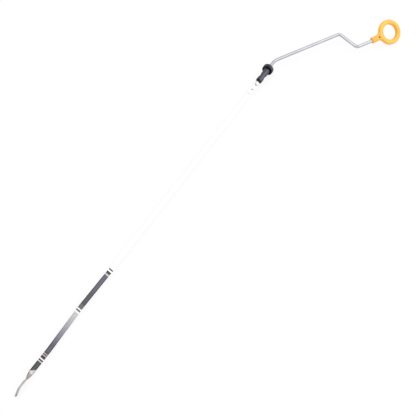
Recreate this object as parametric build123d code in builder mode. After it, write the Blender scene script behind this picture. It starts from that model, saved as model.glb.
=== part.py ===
"""Engine oil dipstick with a wire rod, a rubber stopper and a flat measuring blade.

Frame: the origin is the centre of the cap's open rim, X runs along the plug to the
blade tip, Z is up. The dipstick lies on a flat floor on three places: the cap, the
lower edge of the blade tip and the rim of the handle ring.
"""
import os
from math import cos, radians, sin

from build123d import *

os.makedirs("parts", exist_ok=True)

# Wire rod
rod_d = 4.8
first_bend_at = 26.5
first_bend = 29.8
first_bend_r = 20.0
long_run = 119.2
jog_bend = 90.0
jog_run = 40.9
jog_bend_r = 4.0
handle_run = 24.2
handle_lift = 4.5
handle_lift_r = 30.0
lift_to_neck = 4.0
bend_plane_roll = 1.55

# Flattened lower end of the rod
tongue_w = 6.4
tongue_t = 2.2
tongue_flare = 4.0
tongue_length = 26.0
tongue_edge = 0.5

# Rod features hidden in the mouldings
bead_w = 2.4
bead_proud = 0.9
bead_at = 3.0
grip_length = 5.0
grip_across = 3.4
grip_inset = 7.0

# Ring handle
ring_od = 36.9
ring_band = 6.85
handle_t = 7.6
edge_cuts = (1.7, 0.6)
bore_cut = 1.7
neck_w = 9.0
neck_length = 33.5
neck_flare = 6.5
neck_mouth_cut = 0.6
ring_turn = 46.9
rod_end_cover = 4.6
mould_pin_d = 2.8
mould_pin_at = 21.0

# Rubber stopper
cap_d = 15.7
cap_h = 6.8
shoulder_cut = 1.4
skirt_wall = 1.4
skirt_depth = 4.6
rim_cut = 0.35
plug_d = 8.8
plug_length = 9.5
waist_d = 7.2
waist_at = 15.8
lip_d = 8.8
lip_length = 7.3
lip_cut = 0.8
stem_length = 28.0

# Blade
blade_roll = 33.0
blade_w = 5.4
blade_t = 1.0
blade_edge = 0.2
blade_gap = 0.5
blade_run = 527.0
twist_length = 13.0
twist_turn = 95.0
twist_steps = 6
tip_run = 9.0
tip_bend = 17.0
tip_bend_r = 12.0
tip_length = 9.8

# Stamped level marks: distance back from the twist and width of each groove
full_marks = ((145.7, 2.4), (139.7, 2.0))
middle_marks = ((85.7, 2.0), (81.3, 2.2))
fine_marks = ((22.1, 1.1), (19.8, 1.1))
low_marks = ((15.3, 2.1), (12.0, 1.6))
mark_depth = 0.2

# Rivets
rivet_d = 2.2
rivet_head_d = 3.8
rivet_head_h = 0.7
rivet_clearance = 0.05
rivet_inset = 5.5
rivet_pitch = 12.0

# Places worked out from the sizes above
rod_r = rod_d / 2
tongue_at = stem_length + tongue_flare
tongue_end = tongue_at + tongue_length
tongue_top = tongue_t / 2
lap_z = tongue_top - tongue_t
blade_z = lap_z - blade_t / 2
blade_start = tongue_at + blade_gap
twist_at = blade_start + blade_run
rivet_stations = (tongue_at + rivet_inset, tongue_at + rivet_inset + rivet_pitch)
rivet_hole_r = rivet_d / 2 + rivet_clearance

# Lap plane: the tongue and the blade lie flat in it, rolled about the plug's axis
lap_plane = Plane.XY.rotated((-blade_roll, 0, 0))
lap_side = lap_plane.y_dir
lap_up = lap_plane.z_dir

# Wire route: the runs lie in one plane through the plug's axis, and the handle lifts out of it
bend_plane = Plane.XY.rotated((bend_plane_roll, 0, 0))


def in_bend_plane(heading, lift=0.0):
    """Direction at a heading from the X axis, lifted out of the bend plane (degrees)."""
    flat = cos(radians(lift))
    local = Vector(flat * cos(radians(heading)), flat * sin(radians(heading)), sin(radians(lift)))
    return (bend_plane.x_dir * local.X + bend_plane.y_dir * local.Y + bend_plane.z_dir * local.Z)


run_heading = 180 - first_bend
run_dir = in_bend_plane(run_heading)
jog_dir = in_bend_plane(run_heading - jog_bend)
neck_dir = in_bend_plane(run_heading, handle_lift)
rod_start = Vector(stem_length, 0, 0)
first_corner = Vector(-first_bend_at, 0, 0)
jog_corner = first_corner + run_dir * long_run
handle_corner = jog_corner + jog_dir * jog_run
lift_corner = handle_corner + run_dir * handle_run
neck_end = lift_corner + neck_dir * lift_to_neck
ring_centre = neck_end + neck_dir * neck_length
rod_end = ring_centre - neck_dir * (ring_od / 2 - ring_band + rod_end_cover)

# Handle plane: X points from the neck to the ring, Z out of the ring's upper face
handle_side = neck_dir.cross(Vector(0, 0, 1)).normalized()
handle_up = handle_side.cross(neck_dir)
ring_normal = handle_up * cos(radians(ring_turn)) + handle_side * sin(radians(ring_turn))
handle_plane = Plane(ring_centre, x_dir=neck_dir, z_dir=ring_normal)


# Rod: flattened tongue, flare, swept wire, bead and grip flats
with BuildPart() as rod:
    with BuildSketch(lap_plane.offset(lap_z)):
        with Locations((tongue_at, 0)):
            Rectangle(tongue_length - tongue_w / 2, tongue_w, align=(Align.MIN, Align.CENTER))
        with Locations((tongue_end - tongue_w / 2, 0)):
            Circle(tongue_w / 2)
    extrude(amount=tongue_t)
    flat_edges = rod.edges().filter_by(lap_plane).sort_by(Axis.X)
    chamfer(flat_edges[2:], tongue_edge)
    with BuildSketch(Plane.YZ.offset(stem_length)):
        Circle(rod_r)
    with BuildSketch(Plane((tongue_at, 0, 0), x_dir=lap_side, z_dir=(1, 0, 0))):
        Rectangle(tongue_w, tongue_t)
        chamfer(vertices(), tongue_edge)
    loft()
    with BuildLine():
        FilletPolyline(
            rod_start, first_corner, jog_corner, handle_corner, lift_corner, rod_end,
            radius=(first_bend_r, jog_bend_r, jog_bend_r, handle_lift_r),
        )
    with BuildSketch(Plane(rod_start, z_dir=(-1, 0, 0))):
        Circle(rod_r)
    sweep()
    with BuildSketch(Plane.YZ.offset(bead_at)):
        Circle(rod_r + bead_proud)
    extrude(amount=bead_w)
    with BuildSketch(Plane(rod_end - neck_dir * grip_inset, x_dir=ring_normal, z_dir=-neck_dir)):
        Rectangle(rod_d, rod_d)
        Rectangle(rod_d, grip_across, mode=Mode.SUBTRACT)
    extrude(amount=grip_length, mode=Mode.SUBTRACT)
    with Locations(lap_plane.offset(tongue_top)):
        with Locations(*[(station, 0) for station in rivet_stations]):
            Hole(rivet_hole_r, depth=tongue_t)

# Ring handle: one flat outline, its edges rounded off in cuts, moulded round the wire's end
with BuildPart() as ring_handle:
    with BuildSketch(handle_plane.offset(-handle_t / 2)):
        Circle(ring_od / 2)
        with Locations((-neck_length, 0)):
            Rectangle(neck_length, neck_w, align=(Align.MIN, Align.CENTER))
        inner_corners = vertices().group_by(Axis.X)[1]
        fillet(inner_corners, neck_flare)
    extrude(amount=handle_t)
    for cut in edge_cuts:
        mouth = ring_handle.faces().sort_by(Axis((0, 0, 0), neck_dir))[0]
        rims = ring_handle.edges().filter_by(handle_plane)
        chamfer([edge for edge in rims if edge not in mouth.edges()], cut)
    mouth = ring_handle.faces().sort_by(Axis((0, 0, 0), neck_dir))[0]
    chamfer(mouth.edges(), neck_mouth_cut)
    with BuildSketch(handle_plane):
        Circle(ring_od / 2 - ring_band)
    extrude(amount=handle_t, both=True, mode=Mode.SUBTRACT)
    chamfer(ring_handle.edges(Select.LAST).filter_by(GeomType.CIRCLE), bore_cut)
    with BuildSketch(handle_plane):
        with Locations((-mould_pin_at, 0)):
            Circle(mould_pin_d / 2)
    extrude(amount=handle_t, both=True, mode=Mode.SUBTRACT)
    add(rod.part, mode=Mode.SUBTRACT)

# Stopper: turned profile of the cap, its skirt, the plug, the waisted stem and the lip
with BuildPart() as stopper:
    with BuildSketch(Plane.XZ):
        with BuildLine():
            Polyline(
                (stem_length, 0),
                (stem_length, lip_d / 2),
                (stem_length - lip_length, lip_d / 2),
                (waist_at, waist_d / 2),
                (plug_length, plug_d / 2),
                (-skirt_depth, plug_d / 2),
                (-skirt_depth, cap_d / 2 - skirt_wall),
                (0, cap_d / 2 - skirt_wall),
                (0, cap_d / 2),
                (-cap_h, cap_d / 2),
                (-cap_h, 0),
                close=True,
            )
        make_face()
    revolve(axis=Axis.X)
    chamfer(stopper.edges().filter_by(GeomType.CIRCLE).group_by(Axis.X)[0], shoulder_cut)
    chamfer(stopper.edges().filter_by(GeomType.CIRCLE).group_by(Axis.X)[-1], lip_cut)
    rings = stopper.edges().filter_by(GeomType.CIRCLE).filter_by_position(Axis.X, -rim_cut, rim_cut)
    chamfer(rings.sort_by(SortBy.RADIUS)[-1], rim_cut)
    add(rod.part, mode=Mode.SUBTRACT)

# Blade: flat strip, twist about its own centre line, bent tip on edge
with BuildPart() as blade:
    with BuildSketch(lap_plane.offset(lap_z - blade_t)):
        with Locations((twist_at, 0)):
            Rectangle(blade_run - blade_w / 2, blade_w, align=(Align.MAX, Align.CENTER))
        with Locations((blade_start + blade_w / 2, 0)):
            Circle(blade_w / 2)
    extrude(amount=blade_t)
    flat_edges = blade.edges().filter_by(lap_plane).sort_by(Axis.X)
    chamfer(flat_edges[:-2], blade_edge)
    for step in range(twist_steps + 1):
        share = step / twist_steps
        across = lap_side.rotate(Axis.X, -twist_turn * share)
        tip_start = Vector(twist_at + twist_length * share, 0, 0) + lap_up * blade_z
        with BuildSketch(Plane(tip_start, x_dir=across, z_dir=(1, 0, 0))):
            Rectangle(blade_w, blade_t)
            chamfer(vertices(), blade_edge)
    loft()
    tip_corner = tip_start + Vector(tip_run, 0, 0)
    tip_dir = Vector(1, 0, 0).rotate(Axis((0, 0, 0), across), -tip_bend)
    tip_end = tip_corner + tip_dir * tip_length
    tip_face = tip_dir.cross(across)
    with BuildLine():
        FilletPolyline(tip_start, tip_corner, tip_end, radius=tip_bend_r)
    with BuildSketch(Plane(tip_start, x_dir=across, z_dir=(1, 0, 0))):
        Rectangle(blade_w, blade_t)
        chamfer(vertices(), blade_edge)
    sweep()
    with BuildSketch(Plane(tip_end, x_dir=tip_dir, z_dir=tip_face)):
        Rectangle(blade_w / 2, blade_w, align=(Align.MAX, Align.CENTER))
        with Locations((-blade_w / 2, 0)):
            Circle(blade_w / 2, mode=Mode.SUBTRACT)
    extrude(amount=blade_t, both=True, mode=Mode.SUBTRACT)
    for mark_back, mark_w in full_marks + middle_marks + fine_marks + low_marks:
        mark_r = (mark_w**2 / 4 + mark_depth**2) / (2 * mark_depth)
        with BuildSketch(Plane((0, 0, 0), x_dir=(1, 0, 0), z_dir=-lap_side)):
            with Locations((twist_at - mark_back, lap_z + mark_r - mark_depth)):
                Circle(mark_r)
        extrude(amount=blade_w, both=True, mode=Mode.SUBTRACT)
    with Locations(lap_plane.offset(lap_z)):
        with Locations(*[(station, 0) for station in rivet_stations]):
            Hole(rivet_hole_r, depth=blade_t)

# Rivets: a low head on the tongue, a shank and a set head under the blade
with BuildPart() as blade_rivets:
    grip_bottom = lap_z - blade_t
    for station in rivet_stations:
        with BuildSketch(Plane((station, 0, 0), x_dir=(1, 0, 0), z_dir=-lap_side)):
            with BuildLine():
                Polyline(
                    (0, tongue_top + rivet_head_h),
                    (rivet_head_d / 2, tongue_top + rivet_head_h),
                    (rivet_head_d / 2, tongue_top),
                    (rivet_d / 2, tongue_top),
                    (rivet_d / 2, grip_bottom),
                    (rivet_head_d / 2, grip_bottom),
                    (rivet_head_d / 2, grip_bottom - rivet_head_h),
                    (0, grip_bottom - rivet_head_h),
                    close=True,
                )
            make_face()
        revolve(axis=Axis((station, 0, 0), lap_up))

pieces = {"ring_handle": ring_handle, "rod": rod, "stopper": stopper, "blade": blade, "blade_rivets": blade_rivets}
for name, piece in pieces.items():
    piece.part.label = name
    export_step(piece.part, f"parts/{name}.step")
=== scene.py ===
"""Engine oil dipstick lying on a pale floor.

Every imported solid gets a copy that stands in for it. The ring, the stopper and the rivets have
rounded edges, the wire's tongue is thinned at its end, and the blade bows slightly and twists at
an uneven pace. The frame is the part's own: X runs along the plug to the blade's tip and Z is up.
Meshes are in metres. Finishes and layouts count in millimetres from the cap's open rim.
"""

from math import atan, cos, radians, sin

import bpy
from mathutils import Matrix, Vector


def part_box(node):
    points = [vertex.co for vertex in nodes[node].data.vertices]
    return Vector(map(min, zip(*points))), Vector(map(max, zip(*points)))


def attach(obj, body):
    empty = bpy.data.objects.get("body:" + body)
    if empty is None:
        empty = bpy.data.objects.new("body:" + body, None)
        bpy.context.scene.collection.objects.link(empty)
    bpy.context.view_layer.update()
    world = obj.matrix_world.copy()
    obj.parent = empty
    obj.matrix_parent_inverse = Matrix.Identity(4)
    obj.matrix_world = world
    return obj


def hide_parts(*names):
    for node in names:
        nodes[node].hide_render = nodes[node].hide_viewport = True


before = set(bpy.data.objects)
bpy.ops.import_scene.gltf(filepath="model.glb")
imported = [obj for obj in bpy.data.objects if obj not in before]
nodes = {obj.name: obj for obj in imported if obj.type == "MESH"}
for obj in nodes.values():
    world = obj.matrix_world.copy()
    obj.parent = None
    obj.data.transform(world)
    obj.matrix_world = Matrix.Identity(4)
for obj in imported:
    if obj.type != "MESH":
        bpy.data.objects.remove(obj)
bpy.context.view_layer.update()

MM = 0.001

# Copies of the solids
MERGE_DISTANCE = 0.002 * MM
FLAT_ANGLE = radians(0.5)
ROUND_ANGLE = radians(18)
SMOOTH_ANGLE = radians(40)
BLADE_SMOOTH_ANGLE = radians(15)
HANDLE_ROUND = 0.45 * MM
STOPPER_ROUND = 0.14 * MM
RIVET_ROUND = 0.45 * MM
MOULDING_ROUND_STEPS = 2
RIVET_ROUND_STEPS = 3

# Camera: where it looks and how it stands, as the photograph was taken
CAMERA_TARGET = Vector((0.27734, 0.05159, 0.0))
CAMERA_AZIMUTH = 117.96
CAMERA_ELEVATION = 47.0
CAMERA_DISTANCE = 0.9746
CAMERA_LENS = 70.0
CAMERA_SENSOR = 36.0

# Floor and light
FLOOR_SIZE = 8.0
FLOOR_CLEARANCE = 0.02 * MM
FLOOR_PALE = (0.95, 0.95, 0.95, 1)
FLOOR_ROUGHNESS = 0.9
FLOOR_GLOW = 0.86
TIP_REST_INSET = 1.5 * MM
SKY_WHITE = (1, 1, 1, 1)
SKY_LIGHT = 0.85
SKY_SEEN = 1.0
LAMP_AIM = Vector((0.3, 0, 0))
LAMP_DISTANCE = 1.6

# Ring: the middle and the axis of its bore, and the radii where painted shade deepens its colour
RING_CENTRE = (-0.16305, 0.12521, 0.00633)
RING_AXIS = (0.4161, 0.6033, 0.6804)
BORE_WALL = (12.7, 11.8)
OUTER_WALL = (17.0, 18.2)
YELLOW = (0.92, 0.53, 0.080)
YELLOW_FLOW = (0.93, 0.57, 0.100)
# Painted shade: deeper yellows for the bore's wall and for the outer wall
YELLOW_BORE_PAINTED_SHADE = (0.92, 0.43, 0.035)
YELLOW_WALL_PAINTED_SHADE = (0.86, 0.47, 0.065)

# Wire: the way of its long run on the floor, and places along that way
RUN_X, RUN_Y = -0.868, 0.497
RUN_BRIGHTENS = (10.0, 130.0)
NECK_MOUTH = (172.0, 174.0)
WIRE_DULL = (0.445, 0.435, 0.472)
WIRE_BRIGHT = (0.565, 0.553, 0.590)
# Painted brown shade for the wire inside the handle's neck
WIRE_NECK_PAINTED_SHADE = (0.28, 0.20, 0.06)

# Tongue: places along the plug's axis
COLLAR_MOUTH = (20.0, 30.8)
COLLAR_SOFT = 0.8
TONGUE_FLARE = (30.0, 34.0)
TONGUE_END = (50.0, 52.0)
TONGUE_THIN_FROM = 52.0 * MM
TONGUE_THIN_BY = 1.5 * MM
# Painted reflection of the black collar, dark on the wire where it leaves the collar
WIRE_COLLAR_PAINTED_REFLECTION = (0.03, 0.03, 0.035)
TONGUE_BRIGHT = (0.74, 0.74, 0.75)
# Painted light that lifts the shade on the tongue's end
TONGUE_END_PAINTED_LIGHT = (0.92, 0.92, 0.92)

# Stopper: places along the plug's axis, and across it
PLUG_START = (0.5, 3.0)
CAP_RIM = (-1.6, 0.0)
RECESS_RIM = (-1.2, -0.4)
RECESS_SQUARED_RADIUS = (46.0, 40.0)
RECESS_SIDE = (-1.0, -4.5)
COLLAR_END = (26.4, 27.0)
COLLAR_UNSHADED_SIDE = (0.2, 2.4)
RUBBER_BLACK = (0.014, 0.014, 0.020)
RUBBER_DULL = (0.022, 0.022, 0.031)
# Pale colour of the bloom, also used for the painted highlights and for the painted light in the recess
RUBBER_BLOOM_AND_SHEEN = (0.165, 0.158, 0.215)
# Painted shade on the collar's end
RUBBER_END_PAINTED_SHADE = (0.013, 0.013, 0.016)

# Blade: its face is rolled about the plug's axis, and its middle lies under that axis
BLADE_ROLL = radians(33)
BLADE_UP = Vector((0, sin(BLADE_ROLL), cos(BLADE_ROLL)))
BLADE_SIDE = Vector((0, cos(BLADE_ROLL), -sin(BLADE_ROLL)))
BLADE_Z = -1.6
STEEL = (0.58, 0.58, 0.585)
STEEL_GRAIN = (0.63, 0.63, 0.63)

# Bow of the blade: places along it and how far it is off there, sideways
BOW = (
    (409.0, 0.0), (474.5, -1.05), (482.0, -0.72), (531.0, 0.5), (556.0, 0.3), (575.0, 0.42), (591.0, 0.0),
)
BOW_LEGS = [(start, end, after - before) for (start, before), (end, after) in zip(BOW, BOW[1:])]

# Twist: even in the solid. In the copy it is a sum of smooth turns: start, end and share of the whole
TWIST_TURN = radians(95)
TWIST_START, TWIST_END = 559.5, 572.5
TWIST_PACE = ((559.5, 570.5, 0.62), (568.2, 572.8, 0.43), (574.0, 582.0, -0.05))
TWIST_CUTS = [560.0 + 0.4 * step for step in range(36)]
TWIST_PALE_FROM = (559.0, 560.1)
TWIST_GREY_FROM = (566.0, 570.0)
TWIST_BORDER = (1.5, 2.4)
# Painted reflection on the turning face of the twist
TWIST_PAINTED_REFLECTION = (0.45, 0.41, 0.385)
TWIST_BROWN = (0.24, 0.19, 0.165)
TIP_GREY = (0.29, 0.29, 0.29)

# Hatched ranges of the blade
UPPER_RANGE = (421.0, 473.0)
LOWER_RANGE = (479.0, 536.7)
# Painted reflection: where the lower range's hatching fades in
LOWER_RANGE_REFLECTION_FADE = (483.0, 524.0)
FOOT_START = (547.4, 548.0)
FOOT_END = (558.8, 559.9)
FOOT_SLANT = 0.95
RANGE_SOFT = 0.6
HATCH_PITCH = 1.7
HATCH_LINE = (0.12, 0.42)
HATCH_BORDER = (1.5, 2.3)
UPPER_BLUE = (0.155, 0.148, 0.190)
UPPER_BLACK_FROM = (440.0, 456.0)
UPPER_BLACK = (0.112, 0.111, 0.118)
LOWER_BLUE_FROM = (474.0, 476.0)
LOWER_BLUE = (0.145, 0.138, 0.185)
FOOT_BLACK_FROM = (541.0, 546.0)
FOOT_BLACK = (0.10, 0.10, 0.11)
BORDER_BLACK = (0.04, 0.04, 0.042)
LINE_BLACK = (0.04, 0.04, 0.048)

# Stained bands between the stamped marks: start, end, strength and colour
BAND_SOFT = 0.4
STAINED_BANDS = (
    (411.0, 412.8, 1.0, (0.06, 0.058, 0.058)),
    (415.1, 418.7, 1.0, (0.055, 0.052, 0.052)),
    (418.7, 421.0, 0.8, (0.32, 0.31, 0.315)),
    (467.5, 473.0, 0.4, (0.22, 0.17, 0.17)),
    (474.7, 476.9, 0.95, (0.12, 0.085, 0.07)),
    (534.5, 536.7, 0.6, (0.08, 0.065, 0.07)),
    (536.7, 540.0, 0.5, (0.20, 0.155, 0.16)),
    (537.6, 538.9, 1.0, (0.045, 0.04, 0.04)),
    (540.0, 543.1, 1.0, (0.055, 0.04, 0.036)),
    (544.7, 546.6, 1.0, (0.055, 0.05, 0.052)),
)

# Rivets
RIVET_DULL = (0.34, 0.34, 0.35)
RIVET_WORN = (0.48, 0.48, 0.49)


class Field:
    """A value over a surface. Arithmetic on it adds Math nodes to its finish."""

    def __init__(self, finish, socket):
        self.finish = finish
        self.socket = socket

    def math(self, operation, *values):
        """One Math node on these values, or on this one alone."""
        settings = {"operation": operation}
        return self.finish.node("ShaderNodeMath", settings, dict(enumerate(values or (self,))))

    def __add__(self, other):
        return self.math("ADD", self, other)

    def __radd__(self, other):
        return self.math("ADD", other, self)

    def __sub__(self, other):
        return self.math("SUBTRACT", self, other)

    def __rsub__(self, other):
        return self.math("SUBTRACT", other, self)

    def __mul__(self, other):
        return self.math("MULTIPLY", self, other)

    def __rmul__(self, other):
        return self.math("MULTIPLY", other, self)

    def __truediv__(self, other):
        return self.math("DIVIDE", self, other)

    def __abs__(self):
        return self.math("ABSOLUTE")

    def smaller(self, other):
        return self.math("MINIMUM", self, other)

    def wave(self, pitch):
        """0 to 1 and back once in every pitch."""
        return self.math("PINGPONG", self, pitch / 2) / (pitch / 2)

    def ramp(self, start, end):
        """0 before start, 1 after end, smooth between."""
        sockets = {"Value": self, "From Min": start, "From Max": end}
        return self.finish.node("ShaderNodeMapRange", {"interpolation_type": "SMOOTHSTEP"}, sockets)

    def slope(self, start, end):
        """0 before start, 1 after end, straight between."""
        sockets = {"Value": self, "From Min": start, "From Max": end}
        return self.finish.node("ShaderNodeMapRange", {}, sockets)

    def band(self, start, end, soft):
        """1 between start and end, 0 outside, over a soft edge."""
        rising = self.ramp(start - soft / 2, start + soft / 2)
        falling = self.ramp(end - soft / 2, end + soft / 2)
        return rising * (1 - falling)


class Finish:
    """A procedural material: one Principled shader and the nodes that feed it."""

    def __init__(self, name, **constants):
        self.material = bpy.data.materials.new(name)
        self.material.use_nodes = True
        self.tree = self.material.node_tree
        self.shader = self.tree.nodes["Principled BSDF"]
        for socket, value in constants.items():
            self.shader.inputs[socket.replace("_", " ")].default_value = value
        place = self.tree.nodes.new("ShaderNodeTexCoord")
        self.place = Field(self, place.outputs["Object"])
        parts = self.tree.nodes.new("ShaderNodeSeparateXYZ")
        self.tree.links.new(place.outputs["Object"], parts.inputs[0])
        self.x, self.y, self.z = (Field(self, parts.outputs[axis]) for axis in "XYZ")

    def node(self, kind, settings, sockets, output=0):
        """Adds a node, sets it up, fills its sockets and returns one of its outputs."""
        made = self.tree.nodes.new(kind)
        for setting, value in settings.items():
            setattr(made, setting, value)
        for socket, value in sockets.items():
            self.fill(made.inputs[socket], value)
        return Field(self, made.outputs[output])

    def fill(self, socket, value):
        """Links a field to a socket, or sets a plain value on it."""
        if isinstance(value, Field):
            self.tree.links.new(value.socket, socket)
        else:
            socket.default_value = value

    def feed(self, socket, value):
        """Fills a socket of the shader."""
        self.fill(self.shader.inputs[socket], value)

    def noise(self, scale, detail=3.0, stretch=(1, 1, 1)):
        """Noise of about 1/scale metres, with the scale multiplied by a factor along each axis."""
        turned = self.node("ShaderNodeMapping", {}, {"Vector": self.place, "Scale": stretch})
        sockets = {"Vector": turned, "Scale": scale, "Detail": detail}
        return self.node("ShaderNodeTexNoise", {}, sockets)

    def blend(self, amount, first, second):
        """First colour where amount is 0, second where it is 1."""
        settings = {"data_type": "RGBA"}
        sockets = {"Factor": amount, 6: colour(first), 7: colour(second)}
        return self.node("ShaderNodeMix", settings, sockets, output=2)

    def bump(self, height, strength, depth):
        """Fine relief on the surface, of this depth in metres."""
        sockets = {"Height": height, "Strength": strength, "Distance": depth}
        self.feed("Normal", self.node("ShaderNodeBump", {}, sockets))


def colour(value):
    """A colour socket takes four numbers; a field passes through."""
    return value if isinstance(value, Field) else (*value, 1.0)


def handle_finish():
    """Moulded yellow plastic: satin, with a fine grain, faint flow marks and painted shade in the bore and
    on the outer wall.
    """
    finish = Finish("yellow_plastic", IOR=1.5)
    flow = finish.noise(60, stretch=(1, 1, 0.4))
    grain = finish.noise(2600, detail=2.0)
    base = finish.blend(flow.ramp(0.3, 0.75), YELLOW, YELLOW_FLOW)

    # Painted shade: deeper colour inside the bore and on the outer wall
    places = (finish.x, finish.y, finish.z)
    off = [(place - centre) / MM for place, centre in zip(places, RING_CENTRE)]
    height = sum(part * share for part, share in zip(off, RING_AXIS))
    radius = (sum(part * part for part in off) - height * height).math("SQRT")
    base = finish.blend(radius.ramp(*BORE_WALL), base, YELLOW_BORE_PAINTED_SHADE)
    base = finish.blend(radius.ramp(*OUTER_WALL), base, YELLOW_WALL_PAINTED_SHADE)
    finish.feed("Base Color", base)
    finish.feed("Roughness", 0.40 + 0.12 * flow)
    finish.bump(grain + 0.6 * flow, 0.03, 0.05 * MM)
    return finish.material


def wire_finish():
    """Bright plated wire: duller near the stopper, with a little handling haze, a painted reflection of
    the black collar where it leaves the collar, painted shade inside the handle's neck and painted light
    on the tongue's end.
    """
    finish = Finish("plated_wire", Metallic=1.0)
    haze = finish.noise(45)
    specks = finish.noise(900, detail=2.0)
    towards_ring = (RUN_Y * finish.y + RUN_X * finish.x) / MM
    bright = 0.45 * haze.ramp(0.35, 0.7) + 0.55 * towards_ring.slope(*RUN_BRIGHTENS)
    base = finish.blend(bright, WIRE_DULL, WIRE_BRIGHT)

    # Brighter on the rolled tongue, with painted light on its end; a dark painted reflection of the black
    # collar where it leaves the collar; painted brown shade inside the handle's neck, where the wire shows
    # in the mould-pin holes
    along = finish.x / MM
    base = finish.blend(along.ramp(*TONGUE_FLARE), base, TONGUE_BRIGHT)
    base = finish.blend(along.ramp(*TONGUE_END), base, TONGUE_END_PAINTED_LIGHT)
    base = finish.blend(along.band(*COLLAR_MOUTH, soft=COLLAR_SOFT), base, WIRE_COLLAR_PAINTED_REFLECTION)
    base = finish.blend(towards_ring.ramp(*NECK_MOUTH), base, WIRE_NECK_PAINTED_SHADE)
    finish.feed("Base Color", base)
    finish.feed("Roughness", 0.30 + 0.10 * haze + 0.05 * specks)
    finish.bump(specks, 0.06, 0.02 * MM)
    return finish.material


def stopper_finish():
    """Black moulded rubber: dull, with a pale bloom, painted highlights, painted light in the recess and a
    fine grain.
    """
    finish = Finish("black_rubber", IOR=1.5, Specular_IOR_Level=0.3)
    bloom = finish.noise(160)
    grain = finish.noise(3200, detail=2.0)
    along, side, up = finish.x / MM, finish.y / MM, finish.z / MM
    base = finish.blend(bloom.ramp(0.4, 0.75), RUBBER_BLACK, RUBBER_DULL)

    # Pale colour: a thin bloom all over the plug; painted highlights in a streak along its top and on the
    # cap's wall; painted light that lifts the shade in its recess
    plug = along.ramp(*PLUG_START)
    on_top = (side + up).ramp(0.0, 1.0)
    streak = (1 - abs(0.75 * side - 0.66 * up).ramp(0.3, 2.6)) * on_top * plug
    wall = (0.85 * side + 0.5 * up).ramp(5.2, 7.8) * (1 - along.ramp(*CAP_RIM))
    inside = (1 - along.ramp(*RECESS_RIM)) * (side * side + up * up).ramp(*RECESS_SQUARED_RADIUS)
    recess = inside * side.ramp(*RECESS_SIDE)
    bloom_and_sheen = (0.18 * plug + 0.5 * streak + 0.33 * wall + 0.9 * recess).smaller(1.0) * (0.8 + 0.4 * bloom)
    base = finish.blend(bloom_and_sheen, base, RUBBER_BLOOM_AND_SHEEN)

    # The collar's end is darkened with painted shade, apart from one side
    painted_end_shade = along.ramp(*COLLAR_END) * (1 - 0.9 * side.ramp(*COLLAR_UNSHADED_SIDE))
    base = finish.blend(painted_end_shade, base, RUBBER_END_PAINTED_SHADE)
    finish.feed("Base Color", base)
    finish.feed("Roughness", 0.42 + 0.16 * bloom)
    finish.bump(grain + 0.5 * bloom, 0.25, 0.05 * MM)
    return finish.material


def blade_finish():
    """Polished steel strip: lengthwise grain, hatched ranges and stained bands at the level marks, with
    painted reflections on the lower range and on the twist.
    """
    finish = Finish("marked_blade", Metallic=1.0)
    along = finish.x / MM
    bowed = sum(moved * along.slope(start, end) for start, end, moved in BOW_LEGS)
    across = (finish.y * cos(BLADE_ROLL) - finish.z * sin(BLADE_ROLL)) / MM - bowed
    grain = finish.noise(900, stretch=(0.02, 1, 1))
    stain = finish.noise(120, detail=4.0, stretch=(0.35, 1, 1))
    steel = finish.blend(grain.ramp(0.3, 0.7), STEEL, STEEL_GRAIN)

    # Hatched ranges: even in the upper one, fading in along the lower one, cut off aslant at the twist.
    # The hatching is the strip's own; its fading in along the lower range is a painted reflection
    aslant = along + FOOT_SLANT * across
    upper_range = along.band(*UPPER_RANGE, soft=RANGE_SOFT)
    painted_reflection_fade = 0.47 + 0.53 * along.slope(*LOWER_RANGE_REFLECTION_FADE)
    lower_range = along.band(*LOWER_RANGE, soft=RANGE_SOFT) * painted_reflection_fade
    foot = along.ramp(*FOOT_START) * (1 - aslant.ramp(*FOOT_END))
    hatched = (upper_range + lower_range + foot).smaller(1.0)
    hatch = (along + across).wave(HATCH_PITCH).smaller((along - across).wave(HATCH_PITCH))
    lines = 1 - hatch.ramp(*HATCH_LINE)
    dark = finish.blend(along.ramp(*UPPER_BLACK_FROM), UPPER_BLUE, UPPER_BLACK)
    dark = finish.blend(along.ramp(*LOWER_BLUE_FROM), dark, LOWER_BLUE)
    dark = finish.blend(along.ramp(*FOOT_BLACK_FROM), dark, FOOT_BLACK)
    dark = finish.blend(abs(across).ramp(*HATCH_BORDER), dark, BORDER_BLACK)
    dark = finish.blend(0.6 * lines, dark, LINE_BLACK)
    base = finish.blend(hatched, steel, dark)
    for start, end, strength, stained in STAINED_BANDS:
        base = finish.blend(strength * along.band(start, end, BAND_SOFT), base, stained)

    # Twisted end: a painted reflection, pale with brown borders, where it turns, then grey
    paced = sum(turned * along.ramp(start, end) for start, end, turned in TWIST_PACE)
    turn = BLADE_ROLL + TWIST_TURN * paced
    off_side = finish.y / MM - BLADE_Z * sin(BLADE_ROLL) - cos(BLADE_ROLL) * bowed
    off_up = finish.z / MM - BLADE_Z * cos(BLADE_ROLL) + sin(BLADE_ROLL) * bowed
    own_across = off_side * turn.math("COSINE") - off_up * turn.math("SINE")
    # Painted reflection on the twist, with brown borders
    pale = finish.blend(abs(own_across).ramp(*TWIST_BORDER), TWIST_PAINTED_REFLECTION, TWIST_BROWN)
    base = finish.blend(aslant.ramp(*TWIST_PALE_FROM), base, pale)
    base = finish.blend(along.ramp(*TWIST_GREY_FROM), base, TIP_GREY)
    finish.feed("Base Color", base)
    finish.feed("Roughness", 0.2 + 0.12 * grain + 0.18 * hatched + 0.05 * stain)
    finish.bump(0.2 * grain - 0.8 * lines * hatched, 0.35, 0.06 * MM)
    return finish.material


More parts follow.
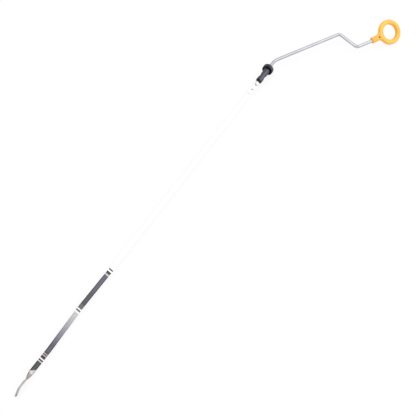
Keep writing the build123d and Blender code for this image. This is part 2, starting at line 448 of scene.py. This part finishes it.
def rivet_finish():
    """Dull set rivets, a little darker than the blade."""
    finish = Finish("set_rivets", Metallic=1.0)
    dull = finish.noise(700)
    finish.feed("Base Color", finish.blend(dull.ramp(0.3, 0.7), RIVET_DULL, RIVET_WORN))
    finish.feed("Roughness", 0.35 + 0.15 * dull)
    finish.bump(dull, 0.15, 0.04 * MM)
    return finish.material


def merged_copy(node_name, piece_name):
    """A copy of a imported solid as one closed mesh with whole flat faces."""
    bpy.ops.object.select_all(action="DESELECT")
    piece = bpy.data.objects.new(piece_name, nodes[node_name].data.copy())
    bpy.context.scene.collection.objects.link(piece)
    piece.select_set(True)
    bpy.context.view_layer.objects.active = piece
    bpy.ops.mesh.customdata_custom_splitnormals_clear()
    bpy.ops.object.mode_set(mode="EDIT")
    bpy.ops.mesh.select_all(action="SELECT")
    bpy.ops.mesh.remove_doubles(threshold=MERGE_DISTANCE)
    bpy.ops.mesh.dissolve_limited(angle_limit=FLAT_ANGLE)
    bpy.ops.object.mode_set(mode="OBJECT")
    return piece


def cut_across(places):
    """Cuts the active piece across X at each place and leaves nothing selected."""
    bpy.ops.object.mode_set(mode="EDIT")
    bpy.ops.mesh.select_mode(type="VERT")
    for place in places:
        bpy.ops.mesh.select_all(action="SELECT")
        bpy.ops.mesh.bisect(plane_co=(place, 0, 0), plane_no=(1, 0, 0))
    bpy.ops.mesh.select_all(action="DESELECT")
    bpy.ops.object.mode_set(mode="OBJECT")


def stand_in(piece, node_name, finish, smooth=SMOOTH_ANGLE):
    """The finished copy takes the node's place."""
    bpy.ops.object.shade_smooth_by_angle(angle=smooth)
    piece.data.materials.clear()
    piece.data.materials.append(finish)
    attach(piece, "root")
    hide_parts(node_name)


def moulding(node_name, piece_name, width, finish):
    """A moulding with every edge rounded that is sharper than the facets of a curve."""
    piece = merged_copy(node_name, piece_name)
    bevel = piece.modifiers.new("rounded edges", "BEVEL")
    bevel.width = width
    bevel.segments = MOULDING_ROUND_STEPS
    bevel.limit_method = "ANGLE"
    bevel.angle_limit = ROUND_ANGLE
    bpy.ops.object.modifier_apply(modifier=bevel.name)
    stand_in(piece, node_name, finish)


def wire_rod(finish):
    """The wire, with its tongue's end thinned down towards the blade."""
    piece = merged_copy("rod", "wire_rod")
    cut_across([TONGUE_THIN_FROM])
    for vertex in piece.data.vertices:
        beyond = vertex.co.x > TONGUE_THIN_FROM + MERGE_DISTANCE
        vertex.select = beyond and BLADE_UP.dot(vertex.co) > 0
    bpy.ops.object.mode_set(mode="EDIT")
    bpy.ops.transform.translate(value=-TONGUE_THIN_BY * BLADE_UP)
    bpy.ops.object.mode_set(mode="OBJECT")
    stand_in(piece, "rod", finish)


def rivet_heads(finish):
    """Rivets with their heads' outer rims rounded over."""
    piece = merged_copy("blade_rivets", "rivet_heads")
    levels = [BLADE_UP.dot(vertex.co) for vertex in piece.data.vertices]
    top, bottom = max(levels) - MERGE_DISTANCE, min(levels) + MERGE_DISTANCE
    for edge in piece.data.edges:
        ends = [levels[i] for i in edge.vertices]
        edge.select = min(ends) > top or max(ends) < bottom
    bpy.ops.object.mode_set(mode="EDIT")
    bpy.ops.mesh.select_mode(type="EDGE")
    bpy.ops.mesh.bevel(offset=RIVET_ROUND, segments=RIVET_ROUND_STEPS, affect="EDGES")
    bpy.ops.object.mode_set(mode="OBJECT")
    stand_in(piece, "blade_rivets", finish)


def share_between(place, start, end):
    """How far a place is from start to end, from 0 to 1."""
    return min(max((place - start) / (end - start), 0.0), 1.0)


def extra_turn(station):
    """What the uneven twist adds to the solid's even one at a station of the blade."""
    paced = 0.0
    for start, end, turned in TWIST_PACE:
        share = share_between(station, start, end)
        paced += turned * share * share * (3 - 2 * share)
    return TWIST_TURN * (paced - share_between(station, TWIST_START, TWIST_END))


def measuring_blade(finish):
    """The blade, bowed between its marks, with a twist that ends quickly as the strip comes on edge."""
    piece = merged_copy("blade", "measuring_blade")
    cuts = TWIST_CUTS + [place for place, offset in BOW]
    cut_across([cut * MM for cut in cuts])
    stations = {}
    for vertex in piece.data.vertices:
        if vertex.co.x > BOW[0][0] * MM:
            stations.setdefault(round(vertex.co.x / MM, 2), []).append(vertex.index)
    for station, section in stations.items():
        centre = Vector((station * MM, 0, 0)) + BLADE_Z * MM * BLADE_UP
        bowed = sum(moved * share_between(station, start, end) for start, end, moved in BOW_LEGS)
        for index in section:
            piece.data.vertices[index].select = True
        bpy.ops.object.mode_set(mode="EDIT")
        bpy.ops.transform.rotate(value=extra_turn(station), orient_axis="X", center_override=centre)
        bpy.ops.transform.translate(value=bowed * MM * BLADE_SIDE)
        bpy.ops.mesh.select_all(action="DESELECT")
        bpy.ops.object.mode_set(mode="OBJECT")
    stand_in(piece, "blade", finish, BLADE_SMOOTH_ANGLE)
    flats = piece.modifiers.new("even flats", "WEIGHTED_NORMAL")
    flats.keep_sharp = True
    bpy.ops.object.modifier_apply(modifier=flats.name)


def direction(azimuth, elevation):
    """From the object towards a point at these angles, in degrees."""
    turn, rise = radians(azimuth), radians(elevation)
    return Vector((sin(turn) * cos(rise), -cos(turn) * cos(rise), sin(rise)))


def camera():
    """The camera, looking at its target from its own angles and distance."""
    back = direction(CAMERA_AZIMUTH, CAMERA_ELEVATION)
    bpy.ops.object.camera_add(location=CAMERA_TARGET + back * CAMERA_DISTANCE)
    made = bpy.context.object
    made.rotation_euler = (-back).to_track_quat("-Z", "Y").to_euler()
    made.data.lens = CAMERA_LENS
    made.data.sensor_width = CAMERA_SENSOR
    bpy.context.scene.camera = made


def backdrop_rays(tree):
    """1 for the rays that see the background itself: from the camera, metal and glass."""
    rays = tree.nodes.new("ShaderNodeLightPath")
    seen = rays.outputs["Is Camera Ray"]
    for kind in ("Is Glossy Ray", "Is Transmission Ray"):
        either = tree.nodes.new("ShaderNodeMath")
        either.operation = "MAXIMUM"
        tree.links.new(seen, either.inputs[0])
        tree.links.new(rays.outputs[kind], either.inputs[1])
        seen = either.outputs[0]
    return seen


def floor_finish():
    """Matt and pale where it catches light and shadow, with a share of plain white where it is seen."""
    paper = bpy.data.materials.new("pale_floor")
    paper.use_nodes = True
    tree = paper.node_tree
    matt = tree.nodes["Principled BSDF"]
    matt.inputs["Base Color"].default_value = FLOOR_PALE
    matt.inputs["Roughness"].default_value = FLOOR_ROUGHNESS
    matt.inputs["Specular IOR Level"].default_value = 0.0
    glow = tree.nodes.new("ShaderNodeEmission")
    share = tree.nodes.new("ShaderNodeMath")
    share.operation = "MULTIPLY"
    share.inputs[1].default_value = FLOOR_GLOW
    mix = tree.nodes.new("ShaderNodeMixShader")
    tree.links.new(backdrop_rays(tree), share.inputs[0])
    tree.links.new(share.outputs[0], mix.inputs[0])
    tree.links.new(matt.outputs[0], mix.inputs[1])
    tree.links.new(glow.outputs[0], mix.inputs[2])
    tree.links.new(mix.outputs[0], tree.nodes["Material Output"].inputs["Surface"])
    return paper


def floor():
    """Pale floor under the places that the dipstick rests on, sloped from the cap to the blade's tip."""
    cap_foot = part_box("stopper")[0].z
    tip_low, tip_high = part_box("blade")
    rise = (tip_low.z - cap_foot) / (tip_high.x - TIP_REST_INSET)
    height = cap_foot + rise * CAMERA_TARGET.x - FLOOR_CLEARANCE
    place = (CAMERA_TARGET.x, CAMERA_TARGET.y, height)
    bpy.ops.mesh.primitive_plane_add(size=FLOOR_SIZE, location=place, rotation=(0, -atan(rise), 0))
    plane = bpy.context.object
    plane.name = "floor"
    bpy.ops.object.transform_apply(location=True, rotation=True, scale=True)
    plane.data.materials.append(floor_finish())


def sky():
    """White all round where it is seen, and a plain soft level where it lights."""
    world = bpy.data.worlds.new("studio")
    bpy.context.scene.world = world
    world.use_nodes = True
    tree = world.node_tree
    light = tree.nodes["Background"]
    light.inputs["Color"].default_value = SKY_WHITE
    level = tree.nodes.new("ShaderNodeMapRange")
    tree.links.new(backdrop_rays(tree), level.inputs["Value"])
    level.inputs["To Min"].default_value = SKY_LIGHT
    level.inputs["To Max"].default_value = SKY_SEEN
    tree.links.new(level.outputs[0], light.inputs["Strength"])


def softbox(name, azimuth, elevation, width, height, power):
    """A square-cornered lamp that faces the middle of the dipstick."""
    back = direction(azimuth, elevation)
    bpy.ops.object.light_add(type="AREA", location=LAMP_AIM + back * LAMP_DISTANCE)
    lamp = bpy.context.object
    lamp.name = name
    lamp.rotation_euler = (-back).to_track_quat("-Z", "Y").to_euler()
    lamp.data.shape = "RECTANGLE"
    lamp.data.size = width
    lamp.data.size_y = height
    lamp.data.energy = power


moulding("ring_handle", "finger_ring", HANDLE_ROUND, handle_finish())
moulding("stopper", "tube_stopper", STOPPER_ROUND, stopper_finish())
rivet_heads(rivet_finish())
wire_rod(wire_finish())
measuring_blade(blade_finish())

floor()
sky()
softbox("key", azimuth=212.0, elevation=37.0, width=2.4, height=1.0, power=8.0)
softbox("side", azimuth=338.0, elevation=54.0, width=1.2, height=1.0, power=5.4)
camera()
bpy.context.scene.view_settings.view_transform = "Standard"
